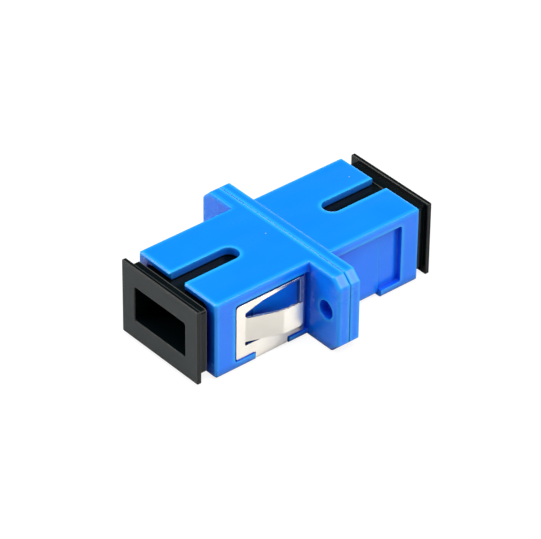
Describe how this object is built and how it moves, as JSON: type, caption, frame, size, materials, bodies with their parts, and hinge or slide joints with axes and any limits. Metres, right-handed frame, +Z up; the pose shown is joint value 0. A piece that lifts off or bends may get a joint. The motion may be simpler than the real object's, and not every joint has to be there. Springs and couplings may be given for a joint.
{
  "type": "sc fibre adapter",
  "caption": "Flanged bulkhead adapter that joins two push-pull fibre plugs end to end, with a spring panel clip, keyed ports and pull-out dust caps.",
  "frame": {"origin": "bottom centre: midway between the two ports' mouths and midway across the flange, at the level of the clip's underside", "axes": "+X along the flange, +Y along the fibre towards the rear port (the clip is on the -Y half), +Z up, towards the keyways"},
  "size_m": [0.0222, 0.0319, 0.0095],
  "materials": {
    "blue_plastic": "satin moulded plastic, blue",
    "black_plastic": "fine matte moulded plastic, black",
    "clip_steel": "bright rolled stainless strip",
    "insert_plastic": "natural engineering plastic",
    "sleeve_ceramic": "ground white ceramic"
  },
  "bodies": {
    "adapter": {"front_housing": "blue_plastic", "rear_housing": "blue_plastic", "front_latch_insert": "insert_plastic", "rear_latch_insert": "insert_plastic", "alignment_sleeve": "sleeve_ceramic", "panel_clip": "clip_steel"},
    "front_cap": {"front_dust_cap": "black_plastic"},
    "rear_cap": {"rear_dust_cap": "black_plastic"}
  },
  "joints": [
    {"name": "front_cap_pull", "type": "slide", "parent": "adapter", "child": "front_cap", "axis": [0, -1, 0], "range_m": [0, 0.014]},
    {"name": "rear_cap_pull", "type": "slide", "parent": "adapter", "child": "rear_cap", "axis": [0, 1, 0], "range_m": [0, 0.014]}
  ]
}
